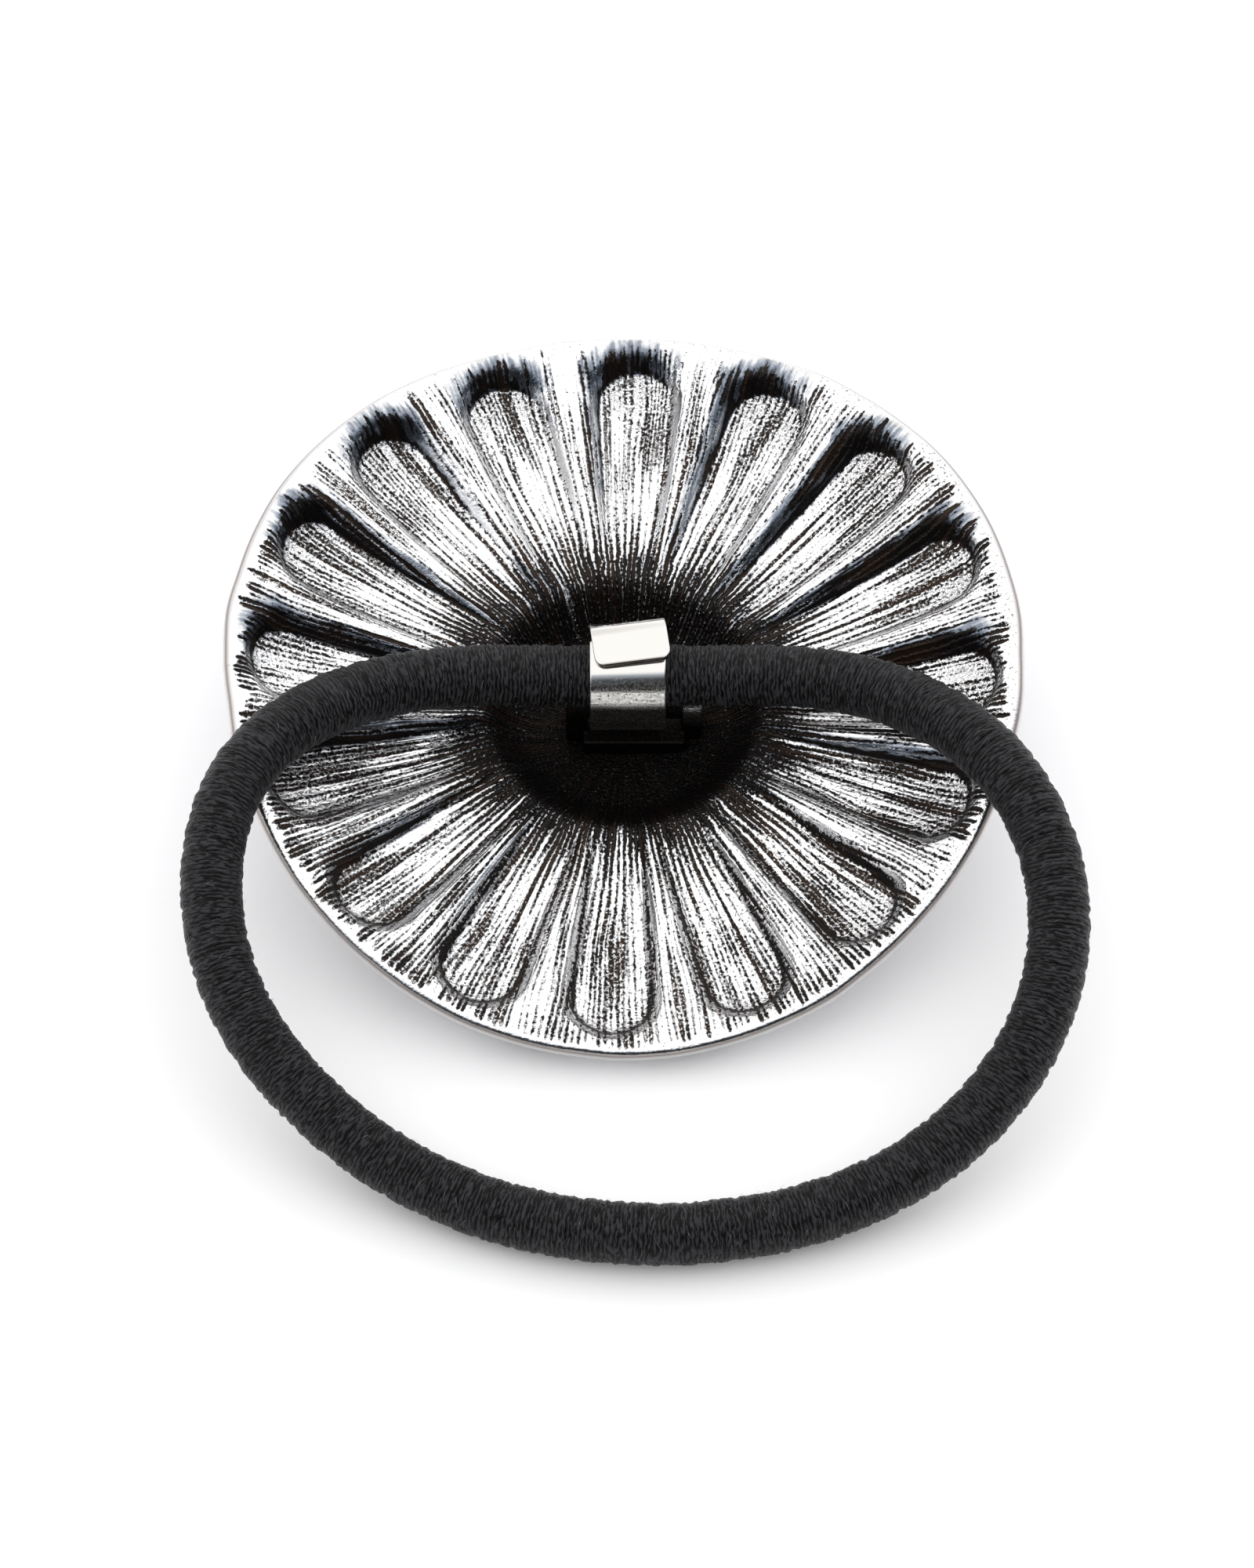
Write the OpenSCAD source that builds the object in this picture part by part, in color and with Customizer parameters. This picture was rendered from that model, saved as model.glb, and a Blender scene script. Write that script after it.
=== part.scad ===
// Concho hair tie: a cast metal flower disc lying face down, with the strap
// clip and the elastic ring on its back turned up. Millimetres, +Z up, the
// origin on the table under the middle of the disc, the ring towards -Y.

/* [Disc] */
// Radius of the round blank before it was bent
disc_r = 25.8; // [24:0.1:28]
// Radius of the bend that lifts the left and right edges
bend_r = 67.5; // [60:0.5:120]
// Thickness of the cast metal
wall = 1.2; // [1:0.1:1.6]
// How deep the disc is dished between its rim and the lip of the centre cup
dish = 1.5; // [0.8:0.1:1.8]
// Depth of the centre cup below the lip
cup_depth = 4.2; // [3.6:0.1:4.4]
// Radius of the lip of the centre cup
cup_r = 8.8; // [8:0.1:10]

/* [Petals] */
// Number of petals
petals = 16; // [12:1:18]
// Turn of the petals about the centre of the disc, in degrees
petal_turn = -2; // [-11:0.5:11]
// Half of a petal's width near its round outer end
petal_half_w = 2.85; // [2:0.1:3.2]
// Depth of a petal at its outer end
petal_deep = 1.45; // [0.8:0.05:1.6]
// Plain band between a petal's outer end and the rim
rim_band = 1.3; // [1:0.1:2]

/* [Staple] */
// Radius of the bar that the clip hangs on
bar_r = 1.2; // [0.9:0.05:1.3]
// Distance between the middles of the two legs
leg_span = 7.4; // [7:0.1:8]
// How far the staple sits to the right of the middle of the disc
staple_x = 0.65; // [0.4:0.05:0.8]
// Width of a leg
leg_w = 1.3; // [1:0.1:1.8]

/* [Clip] */
// Width of the folded strip
clip_w = 4.85; // [4:0.05:5]
// How far the strip sits to the right of the middle of the disc
clip_x = 0.25; // [0.2:0.05:0.5]
// Thickness of the strip
strip_t = 0.4; // [0.3:0.05:0.45]
// Turn of the outer flap over the end beneath it, in degrees
flap_turn = 8; // [0:1:10]

/* [Elastic] */
// Diameter of the elastic
elastic_d = 4; // [3.6:0.1:4]

/* [Rest] */
// Tilt of the disc towards the ring, in degrees
tilt = 11; // [10.5:0.5:11]
// Height of the middle of the rim above the table
rest_h = 9.42; // [9.42:0.02:9.6]

/* [Hidden] */
$fn = 48;

gap = 0.1;             // running gap between the elastic, the strip and the bar
centre_y = -0.55;      // middle of the disc, so that its outline is centred on the origin
sagitta = bend_r * (1 - cos(deg(disc_r / bend_r)));
elastic_below = 0.65;  // the elastic's axis in the clip, below the middle of the rim
cord_y = centre_y + elastic_below * sin(tilt);
cord_z = rest_h - elastic_below * cos(tilt);

// Back of the disc, from the rim to the centre, as [radius, depth below the rim]
back_dish = [
    [disc_r, 0.25], [disc_r - 0.4, 0], [disc_r - 2, 0.02],
    [18, dish * 0.42], [13, dish * 0.7], [cup_r + 1, dish * 0.95], [cup_r, dish * 1.12],
    [cup_r * 0.91, dish + cup_depth * 0.3], [cup_r * 0.8, dish + cup_depth * 0.58],
    [cup_r * 0.7, dish + cup_depth * 0.78], [cup_r * 0.55, dish + cup_depth * 0.91],
    [cup_r * 0.3, dish + cup_depth * 0.98], [0, dish + cup_depth]
];
// Face of the disc, the same way: it follows the back one wall lower, and goes round the cup as a
// dome with a small flat, steeper beside it than the tilt at which the disc lies
face_dish = [
    [disc_r, wall - 0.25], [disc_r - 0.4, wall], [disc_r - 2, wall + 0.02],
    [18, wall + dish * 0.42], [13, wall + dish * 0.7], [cup_r + 1.6, wall + dish * 0.92],
    [cup_r + 0.8, wall + dish + 0.3], [cup_r * 0.95, dish + cup_depth * 0.64],
    [cup_r * 0.76, dish + cup_depth * 0.93], [cup_r * 0.5, wall + dish + cup_depth * 0.83],
    [cup_r * 0.12, wall + dish + cup_depth + 0.04], [0, wall + dish + cup_depth + 0.05]
];
// A petal along its own axis, as [radius, share of its depth]
petal_end = disc_r - rim_band;
petal_along = [
    [petal_end, 0], [petal_end - 0.4, 0.25], [petal_end - 0.9, 0.85], [petal_end - 1.3, 1],
    [20, 0.97], [16, 0.8], [12, 0.5], [cup_r + 1, 0.22], [cup_r, 0]
];
// A petal's width, as [radius, share of its half width]
petal_across = [
    [petal_end, 1], [21, 0.98], [16, 0.8], [12, 0.65], [cup_r + 1, 0.56], [cup_r, 0.51], [0, 0]
];
// Steps across one petal from its axis, as [share of its half width, share of its depth]
steps = [[0, 1], [0.42, 0.98], [0.78, 0.92], [0.94, 0.45], [1.12, 0]];
widest = 170 / petals; // the furthest a step turns from the axis, just short of the land's middle
// Rings of points, from the rim to the centre, as [radius on a petal's axis, 1 if it rounds the end]
back_rings = [
    [disc_r, 0], [disc_r - 0.4, 0],
    [petal_end, 1], [petal_end - 0.4, 1], [petal_end - 0.9, 1], [petal_end - 1.3, 1],
    [20, 0], [16, 0], [12, 0], [cup_r + 1, 0], [cup_r, 0],
    [cup_r * 0.91, 0], [cup_r * 0.8, 0], [cup_r * 0.7, 0], [cup_r * 0.55, 0], [cup_r * 0.3, 0]
];
face_rings = [
    [disc_r, 0], [disc_r - 0.3, 0],
    [petal_end, 1], [petal_end - 0.4, 1], [petal_end - 1, 1], [20, 0], [16, 0], [12, 0],
    [cup_r + 1.6, 0], [cup_r + 0.8, 0], [cup_r * 0.95, 0], [cup_r * 0.76, 0],
    [cup_r * 0.5, 0], [cup_r * 0.12, 0]
];
face_grow = 0.5;       // how much further out a petal's wall lies on the face than on the back

leg_deep = bar_r * 1.6; // size of a leg from the near side to the far side
foot_deep = 3.7;       // the same size of the foot that joins the legs on the cup's floor
foot_h = 1.7;          // height of the foot
foot_sunk = 0.1;       // how far the legs and the foot go into the floor

// The folded strip in the plane across the bar, from the elastic's axis. It runs from its inner
// end, over the near side and under the bar, up the far side to the flap, and its bends are
// [middle along Y, middle along Z, radius].
bar_below = elastic_d / 2 + 2 * gap + bar_r;
near_r = elastic_d / 2 + gap / 2 + strip_t / 2;      // the strip's middle on the near side
far_r = near_r + strip_t + gap / 2;                  // and on the far side, outside its own end
fold = 1.2;            // radius of the strip's middle in a bend round the elastic
shoulder = 1.6;        // where the strip starts to narrow towards the bar
near_bend = [fold - near_r, -shoulder, fold];
cradle = [0, -bar_below, bar_r + 3 * gap + strip_t / 2];
far_bend = [far_r - fold, -shoulder, fold];
inner_end = 1.2;       // where the strip starts, under the flap
flap_end = -0.55;      // where the flap ends
flap_corner = 0.7;     // radius of the flap's two corners
flap_hinge = 2.2;      // the point on the far side that the flap is turned about
under_flap = 20;       // degrees of the last bend where the strip and the flap are one
// Each bend with its first and last angle
strip_bends = [
    [[inner_end, near_r - fold, fold], 90, 90],
    [[fold - near_r, near_r - fold, fold], 90, 180],
    [near_bend, 180, 360 + meeting(near_bend, cradle)],
    [cradle, 360 + meeting(near_bend, cradle), 360 + meeting(cradle, far_bend)],
    [far_bend, 360 + meeting(cradle, far_bend), 360],
    [[far_r - fold, far_r - fold, fold], 360, 360 + under_flap]
];
flap_bends = [
    [[far_r - fold, far_r - fold, fold], 0, 90],
    [[flap_end, far_r - fold, fold], 90, 90]
];

// The elastic's route round the ring, from the clip. The curve runs smoothly beside these points.
route = [
    [0, cord_y, cord_z], [5.5, cord_y, cord_z], [10.8, -0.9, 9.5], [15.7, -2.5, 10.4],
    [20, -5.5, 11.4], [23.7, -9.5, 11.9], [26.2, -14.2, 11.5], [27.4, -19.2, 10.2],
    [27, -24.2, 8.4], [25.1, -28.7, 6.4], [21.8, -32.5, 4.5], [17.5, -35.5, 3],
    [12.5, -37.6, 2.2], [7.1, -38.9, 2], [1.6, -39.3, 2], [-3.9, -38.7, 2],
    [-9.1, -37.1, 2], [-14.1, -34.7, 2.6], [-18.6, -31.7, 4], [-22.4, -28.1, 5.9],
    [-25, -23.9, 8], [-26, -19.1, 10], [-25.6, -14.1, 11.5], [-23.7, -9.4, 11.9],
    [-20.2, -5.4, 11.3], [-15.8, -2.5, 10.3], [-10.8, -0.9, 9.5], [-5.5, cord_y, cord_z]
];
turns = 60;            // rings of points along the elastic
sides = 12;            // points round it

function deg(radians) = radians * 180 / PI;
function unit(v) = v / norm(v);

// Bends a flat disc point about the Y axis and puts the middle of the rim at height 0
function bent(p) =
    let (turn = deg(p.x / bend_r))
    [(bend_r - p.z) * sin(turn), p.y, bend_r - (bend_r - p.z) * cos(turn) - sagitta / 2];

// One point of the disc, on ring [radius, rounds the end], at a step across a petal
function disc_point(ring, step, side, middle, dish_table, grow) =
    let (
        half = (petal_half_w + grow) * lookup(ring[0], petal_across),
        off = step[0] * half,
        short = ring[1] * (half - sqrt(max(0, half * half - off * off))),
        r = ring[0] + ring[1] * grow - short,
        turn = side * min(deg(off / r), widest),
        z = -lookup(r, dish_table) - petal_deep * step[1] * lookup(ring[0], petal_along),
        a = middle + turn
    )
    bent([r * cos(a), r * sin(a), z]);

function disc_ring(ring, dish_table, grow) = [
    for (k = [0 : petals - 1])
        let (middle = 90 + petal_turn + k * 360 / petals)
        each concat(
            [for (i = [len(steps) - 1 : -1 : 1])
                disc_point(ring, steps[i], -1, middle, dish_table, grow)],
            [for (i = [0 : len(steps) - 1])
                disc_point(ring, steps[i], 1, middle, dish_table, grow)],
            [land_point(ring, middle + 180 / petals, dish_table, grow)]
        )
];

// The middle of the land between two petals
function land_point(ring, a, dish_table, grow) =
    let (
        half = (petal_half_w + grow) * lookup(ring[0], petal_across),
        r = ring[0] + ring[1] * (grow - half)
    )
    bent([r * cos(a), r * sin(a), -lookup(r, dish_table)]);

function reversed(list) = [for (i = [len(list) - 1 : -1 : 0]) list[i]];

// A point on the smooth closed curve beside the route, at station u from 0 to the number of points
function on_route(u) =
    let (
        n = len(route),
        i = floor(u),
        f = u - i,
        w = [pow(1 - f, 3), 3 * f * f * f - 6 * f * f + 4, -3 * f * f * f + 3 * f * f + 3 * f + 1, f * f * f]
    )
    (w[0] * route[(i + n - 1) % n] + w[1] * route[i % n]
        + w[2] * route[(i + 1) % n] + w[3] * route[(i + 2) % n]) / 6;

// Points round the elastic where its axis passes station u
function elastic_ring(u) =
    let (
        along = unit(on_route(u + 0.01) - on_route(u + len(route) - 0.01)),
        side = unit(cross(along, [0, 0, 1])),
        up = cross(side, along)
    )
    [for (k = [0 : sides - 1])
        let (a = k * 360 / sides)
        on_route(u) + elastic_d / 2 * (cos(a) * side + sin(a) * up)];

// The angle at which a strip leaves one bend, straight for the next
function meeting(from, to) =
    let (v = [to[0] - from[0], to[1] - from[1]])
    atan2(v.y, v.x) - acos((from[2] - to[2]) / norm(v));

// One edge of a strip along its bends, so far outside its middle
function edge(bends, off) = [
    for (b = bends)
        let (n = ceil((b[2] - b[1]) / 10))
        for (i = [0 : n])
            let (a = n == 0 ? b[1] : b[1] + (b[2] - b[1]) * i / n)
            [b[0][0] + (b[0][2] + off) * cos(a), b[0][1] + (b[0][2] + off) * sin(a)]
];

// Joins rings of points, in order, into triangles
function skin(rings, round, closed) = [
    for (i = [0 : closed ? rings - 1 : rings - 2], k = [0 : round - 1])
        let (
            a = i * round + k,
            b = i * round + (k + 1) % round,
            c = (i + 1) % rings * round + (k + 1) % round,
            d = (i + 1) % rings * round + k
        )
        each [[a, b, c], [a, c, d]]
];

// Puts what is modelled in the disc's own frame where the disc rests on the table
module on_table() {
    translate([0, centre_y, rest_h]) rotate([tilt, 0, 0]) children();
}

// Draws a strip of the given bends, centred across the bar, and clip_w wide along it
module strip(bends) {
    rotate([90, 0, 90])
        translate([0, 0, -clip_w / 2])
            linear_extrude(clip_w)
                polygon(concat(edge(bends, strip_t / 2), reversed(edge(bends, -strip_t / 2))));
}

module flower_disc() {
    round = petals * 2 * len(steps);
    rings = concat(
        [for (r = reversed(back_rings)) disc_ring(r, back_dish, 0)],
        [for (r = face_rings) disc_ring(r, face_dish, face_grow)]
    );
    count = len(rings) * round;
    middles = [bent([0, 0, -lookup(0, back_dish)]), bent([0, 0, -lookup(0, face_dish)])];
    caps = [
        for (k = [0 : round - 1])
            each [
                [count, (k + 1) % round, k],
                [count + 1, count - round + k, count - round + (k + 1) % round]
            ]
    ];
    polyhedron(
        points = concat([for (r = rings) each r], middles),
        faces = concat(skin(len(rings), round, false), caps),
        convexity = 8
    );
}

module staple() {
    bar_z = -elastic_below - bar_below;
    floor_z = -sagitta / 2 - dish - cup_depth;
    translate([staple_x, 0, 0]) {
        translate([0, 0, bar_z])
            rotate([0, 90, 0])
                cylinder(r = bar_r, h = leg_span + leg_w, center = true);
        for (side = [-1, 1])
            translate([side * leg_span / 2 - leg_w / 2, -leg_deep / 2, floor_z - foot_sunk])
                cube([leg_w, leg_deep, bar_z - floor_z + foot_sunk]);
        translate([0, 0, floor_z - foot_sunk + foot_h / 2])
            cube([leg_span - leg_w, foot_deep, foot_h], center = true);
    }
}

// The disc and the staple are one casting
module concho() {
    color("silver") on_table() {
        flower_disc();
        staple();
    }
}

module flap_outline() {
    reach = 6;
    translate([-clip_w / 2, flap_end]) {
        translate([0, flap_corner]) square([clip_w, reach]);
        translate([flap_corner, 0]) square([clip_w - 2 * flap_corner, reach]);
        for (x = [flap_corner, clip_w - flap_corner])
            translate([x, flap_corner]) circle(r = flap_corner);
    }
}

// The flap lies askew over the strip's other end
module flap() {
    translate([0, flap_hinge, 0])
        rotate([0, 0, flap_turn])
            translate([0, -flap_hinge, 0])
                intersection() {
                    strip(flap_bends);
                    linear_extrude(far_r * 2) flap_outline();
                }
}

module clip_strap() {
    color("gainsboro") on_table()
        translate([clip_x, 0, -elastic_below]) {
            strip(strip_bends);
            flap();
        }
}

module elastic() {
    rings = [for (i = [0 : turns - 1]) each elastic_ring(i * len(route) / turns)];
    color([0.08, 0.08, 0.09])
        polyhedron(points = rings, faces = skin(turns, sides, true), convexity = 6);
}

concho();
clip_strap();
elastic();
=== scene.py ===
"""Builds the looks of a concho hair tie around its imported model: the cast flower disc that lies
face down with its grooved, blackened back up, the folded strap clip, and the loop of elastic."""

import math
from functools import partial
from types import SimpleNamespace

import bmesh
import bpy
import numpy as np
from mathutils import Matrix, Vector


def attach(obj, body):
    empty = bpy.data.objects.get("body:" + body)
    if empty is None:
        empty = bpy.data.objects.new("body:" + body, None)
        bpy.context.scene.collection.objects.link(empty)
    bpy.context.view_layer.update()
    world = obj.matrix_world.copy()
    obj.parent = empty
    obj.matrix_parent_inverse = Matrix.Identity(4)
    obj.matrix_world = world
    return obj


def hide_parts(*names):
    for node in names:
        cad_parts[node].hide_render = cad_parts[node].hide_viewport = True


bl_info = {
    "name": "Concho Hair Tie",
    "version": (1, 0, 0),
    "blender": (4, 5, 0),
    "location": "View3D > Sidebar > Hair Tie",
    "description": "Makes a cast flower disc on a loop of covered elastic, and a stage to look at it on",
    "category": "Add Mesh",
}

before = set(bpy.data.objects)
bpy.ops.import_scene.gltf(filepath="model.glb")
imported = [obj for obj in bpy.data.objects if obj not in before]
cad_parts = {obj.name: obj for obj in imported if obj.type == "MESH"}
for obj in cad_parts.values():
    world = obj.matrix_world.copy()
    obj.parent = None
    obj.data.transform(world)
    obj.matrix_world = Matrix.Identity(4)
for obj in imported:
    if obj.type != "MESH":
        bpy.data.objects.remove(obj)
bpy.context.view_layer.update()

MM = 0.001
PI = math.pi

# The photograph: its size in pixels, the pixel of the disc's middle, the pixels that a millimetre
# takes there, the angle and distance that it was seen from, and the height of the film
PHOTO_WIDTH = 1600
PHOTO_HEIGHT = 2000
DISC_PIXEL = (796, 856)
PIXELS_PER_MM = 20.04
SEEN_FROM_ABOVE = math.radians(51.6)
CAMERA_DISTANCE = 650
FILM_HEIGHT = 36

TABLE_SIZE = 6  # metres


def linear(code):
    """Turns an sRGB hex colour into the linear values that the shaders work in."""
    parts = [int(code[i:i + 2], 16) / 255 for i in (1, 3, 5)]
    return tuple(c / 12.92 if c <= 0.04045 else ((c + 0.055) / 1.055) ** 2.4 for c in parts)


def length(name, description, value):
    """A size in millimetres as a length property."""
    return bpy.props.FloatProperty(
        name=name, description=description, default=value * MM, min=0, unit="LENGTH", precision=5)


def angle(name, description, degrees):
    return bpy.props.FloatProperty(
        name=name, description=description, default=math.radians(degrees), subtype="ANGLE")


def colour(name, description, code):
    return bpy.props.FloatVectorProperty(
        name=name, description=description, default=linear(code), min=0, max=1, subtype="COLOR")


class HairTieSizes(bpy.types.PropertyGroup):
    disc_radius: length("Disc radius", "Radius of the round blank before it was bent", 25.8)
    bend_radius: length("Bend radius", "Radius of the bend that lifts the left and right edges", 67.5)
    wall: length("Wall", "Thickness of the cast metal", 1.2)
    dish: length("Dish", "How deep the disc is dished between the rim and the cup's lip", 1.5)
    cup_depth: length("Cup depth", "Depth of the centre cup below its lip", 4.2)
    cup_radius: length("Cup radius", "Radius of the cup's lip", 8.8)
    petals: bpy.props.IntProperty(name="Petals", description="Number of petals", default=16, min=3)
    petal_turn: angle("Petal turn", "Turn of the petals about the middle of the disc", -2)
    petal_half_width: length("Petal half width", "Half of a petal's width near its outer end", 2.85)
    petal_depth: length("Petal depth", "Depth of a petal at its outer end", 1.45)
    rim_band: length("Rim band", "Plain band between a petal's outer end and the rim", 1.3)
    groove_pitch: length("Groove pitch", "Spacing of the radial grooves at the rim", 0.43)
    groove_depth: length("Groove depth", "Depth of a full groove", 0.09)
    bar_radius: length("Bar radius", "Radius of the bar that the clip hangs on", 1.2)
    leg_span: length("Leg span", "Distance between the middles of the staple's legs", 7.4)
    leg_width: length("Leg width", "Width of a leg", 1.3)
    staple_shift: length("Staple shift", "How far the staple sits right of the disc's middle", 0.65)
    clip_width: length("Clip width", "Width of the folded strip", 4.85)
    clip_shift: length("Clip shift", "How far the strip sits right of the disc's middle", 0.25)
    strip: length("Strip", "Thickness of the folded strip", 0.4)
    flap_turn: angle("Flap turn", "Turn of the outer flap over the end beneath it", 8)
    elastic: length("Elastic", "Diameter of the covered elastic", 4)
    yarn_pitch: length("Yarn pitch", "Spacing of the yarn wound round the elastic", 0.19)
    tilt: angle("Tilt", "Tilt of the disc towards the loop", 11)
    rest_height: length("Rest height", "Height of the middle of the rim above the table", 9.42)


class HairTieColours(bpy.types.PropertyGroup):
    silver: colour("Silver", "Polished high places of the casting", "#F0F0F1")
    # Patina and film also paint the dark reflection on the petal walls that face the lower right, and
    # its blue-grey edge
    patina: colour("Patina", "Black left in the grooves", "#262423")
    patina_edge: colour("Patina edge", "Brown in the grooves that hold more of the black", "#3A2F28")
    film: colour("Film", "Blue-grey where the black is rubbed thin", "#7C8490")
    rim_edge: colour("Rim edge", "Grey of the worn rim and of thin black beside grooves", "#8F8782")
    strip: colour("Strip", "Bright plated strip", "#DEDCD8")
    tarnish: colour("Tarnish", "Stained places of the strip", "#5A4838")
    yarn: colour("Yarn", "Black yarn over the elastic", "#2E2E31")
    # Painted shade: near black in the gaps between the crowns of the yarn
    between: colour("Between the yarns", "Dark between the crowns of the yarn", "#030303")
    # Painted highlight: loose ends of the black yarn drawn grey
    lint: colour("Lint", "Loose ends of yarn that catch the light", "#8C8C90")
    floor: colour("Floor", "Pale table", "#F4F4F5")


def sizes():
    """The sizes as plain numbers: lengths in millimetres, angles in radians."""
    group = bpy.context.scene.hair_tie_sizes
    kinds = group.bl_rna.properties
    return SimpleNamespace(**{
        name: getattr(group, name) / MM if kinds[name].unit == "LENGTH" else getattr(group, name)
        for name in HairTieSizes.__annotations__})


def colours():
    """The colours as red, green, blue and a full alpha, as a shader's socket takes them."""
    group = bpy.context.scene.hair_tie_colours
    return SimpleNamespace(**{
        name: (*getattr(group, name), 1) for name in HairTieColours.__annotations__})


# As in the frame: where the disc's middle stands, how far below the middle of the rim the elastic
# runs through the clip, and the gap between parts that lie against each other
CENTRE_Y = -0.55
ELASTIC_BELOW = 0.65
GAP = 0.1


def sagitta(s):
    """How far the bend lifts the disc's left and right edges."""
    return s.bend_radius * (1 - math.cos(s.disc_radius / s.bend_radius))


def bar_drop(s):
    """How far the middle of the staple's bar lies below that of the elastic."""
    return s.elastic / 2 + 2 * GAP + s.bar_radius


def bent(s, points):
    """Bends flat disc points about the Y axis and puts the middle of the rim at height 0."""
    turn = points[:, 0] / s.bend_radius
    reach = s.bend_radius - points[:, 2]
    height = s.bend_radius - reach * np.cos(turn) - sagitta(s) / 2
    return np.column_stack([reach * np.sin(turn), points[:, 1], height])


def on_table(s, points):
    """Puts what is modelled in the disc's own frame where the disc rests on the table."""
    x, y, z = np.asarray(points, float).T
    c, n = math.cos(s.tilt), math.sin(s.tilt)
    return np.column_stack([x, CENTRE_Y + y * c - z * n, s.rest_height + y * n + z * c])


def softened(table, x, blur):
    """Reads a table of [place, value] at x, with its corners rounded over blur."""
    place, value = np.array(sorted(table), float).T
    step, taps = blur / 6, 18
    grid = np.arange(place[0] - 4 * blur, place[-1] + 4 * blur, step)
    weights = np.exp(-0.5 * (np.arange(-taps, taps + 1) * step / blur) ** 2)
    smooth = np.convolve(np.pad(np.interp(grid, place, value), taps, mode="edge"),
                         weights / weights.sum(), mode="valid")
    return np.interp(x, grid, smooth)


def ramp(value, start, stop):
    """0 before start, 1 past stop and a straight rise between them. Stop may be the lower."""
    return np.clip((value - start) / (stop - start), 0, 1)


def line(value, middle, width):
    """A soft line: 1 where the value is at the middle, and nothing well away from it."""
    return np.exp(-((value - middle) / width) ** 2)


def smoothed(share):
    """Eases a share from 0 to 1 at both ends."""
    return share * share * (3 - 2 * share)


def back_dish(s):
    """Depth of the disc's back below the rim, by radius."""
    c, r, d = s.cup_depth, s.cup_radius, s.dish
    return [
        [s.disc_radius, 0], [s.disc_radius - 2, 0.02], [18, d * 0.42], [13, d * 0.7],
        [r + 1, d * 0.95], [r, d * 1.12], [r * 0.91, d + c * 0.3], [r * 0.8, d + c * 0.58],
        [r * 0.7, d + c * 0.78], [r * 0.55, d + c * 0.91], [r * 0.3, d + c * 0.98], [0, d + c],
    ]


def face_dish(s):
    """Depth of the disc's face below the rim, by radius: a wall lower, round the cup as a dome."""
    c, r, d, w = s.cup_depth, s.cup_radius, s.dish, s.wall
    return [
        [s.disc_radius, w], [s.disc_radius - 2, w + 0.02], [18, w + d * 0.42], [13, w + d * 0.7],
        [r + 1.6, w + d * 0.92], [r + 0.8, w + d + 0.3], [r * 0.95, d + c * 0.64],
        [r * 0.76, d + c * 0.93], [r * 0.5, w + d + c * 0.83], [r * 0.12, w + d + c + 0.04],
        [0, w + d + c + 0.05],
    ]


# Share of a petal's depth along its axis, by radius, and of its half width, by radius
PETAL_ALONG = [[0, 0], [8.8, 0], [9.8, 0.22], [12, 0.5], [16, 0.8], [20, 0.97], [23.2, 1], [26, 1]]
PETAL_WIDTH = [[0, 0], [8.8, 0.51], [9.8, 0.56], [12, 0.65], [16, 0.8], [21, 0.98], [24.5, 1]]
# Share of its depth across a petal, by the share of the way from its axis to its outline
PETAL_ACROSS = [[0, 1], [0.5, 0.97], [0.69, 0.9], [0.74, 0.8], [0.84, 0.5], [0.94, 0.24],
                [1.03, 0.1], [1.14, 0.02], [1.25, 0], [2, 0]]
SIDE_REACH = 1.12  # a petal's walls end this much further out than its half width
PETAL_ENDS = 22  # radius near the petals' outer ends
OUTSIDE = 26  # a radius just past the rim


def petal_place(s, r, turn, grow):
    """How far each point lies from its petal's axis, as a share of the way to its outline, and
    its angle from that axis. The outline is grown by so much."""
    share = 2 * PI / s.petals
    off = (turn - PI / 2 - s.petal_turn + share / 2) % share - share / 2
    along, across = r * np.cos(off), r * np.sin(off)
    half = (s.petal_half_width + grow) * np.interp(r, *np.array(PETAL_WIDTH).T)
    end = s.petal_half_width + grow
    past = np.maximum(0, along - (s.disc_radius - s.rim_band + grow - end)) / end
    return np.hypot(across / np.maximum(half * SIDE_REACH, 0.05), past), off


def petal_share(s, r, turn, grow):
    """Share of the petals' depth at each point."""
    away, _ = petal_place(s, r, turn, grow)
    return softened(PETAL_ALONG, r, 0.5) * softened(PETAL_ACROSS, away, 0.04)


def lumps(rng, r, turn, across, along):
    """Soft random lumps over the disc, so many round it and so many out from its middle."""
    table = rng.normal(size=(across, along))
    u = turn / (2 * PI) * across
    v = np.clip(r / OUTSIDE, 0, 1) * (along - 1.001)
    i, j = np.floor(u).astype(int), v.astype(int)
    f, g = smoothed(u - i), smoothed(v - j)
    inner = table[i % across, j] * (1 - f) + table[(i + 1) % across, j] * f
    outer = table[i % across, j + 1] * (1 - f) + table[(i + 1) % across, j + 1] * f
    return inner * (1 - g) + outer * g


def span(start, stop, step):
    """Radii from start towards stop, about a step apart, without stop itself."""
    count = max(1, round(abs(stop - start) / step))
    return np.linspace(start, stop, count, endpoint=False)


# Points round a ring: over the petals, near the cup, round the rim, and in the cup and on the face
FINE, MIDDLE, PLAIN, COARSE = 1600, 800, 400, 200
RIM_ROUNDING = 0.35


def disc_rings(s):
    """Rings of the disc from the middle of its back over the rim to the middle of its face, as
    [radius, points round it, share of the way over the rim from the back to the face]."""
    top = s.disc_radius - RIM_ROUNDING
    # Stretches of the two sides as [from radius, to radius, step, points round a ring]
    back = [[0.6, 3.6, 0.75, COARSE], [3.6, 12, 0.4, MIDDLE], [12, 21.4, 0.42, FINE],
            [21.4, 24.8, 0.22, FINE], [24.8, top, 0.22, FINE]]
    face = [[top, 20, 0.3, PLAIN], [20, 0.3, 0.6, COARSE]]
    rings = [[r, count, 0] for start, stop, step, count in back for r in span(start, stop, step)]
    rings += [[top + RIM_ROUNDING * math.sin(a), PLAIN, 0.5 - 0.5 * math.cos(a)]
              for a in np.linspace(0.15, PI - 0.15, 7)]
    rings += [[r, count, 1] for start, stop, step, count in face for r in span(start, stop, step)]
    return rings


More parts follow.
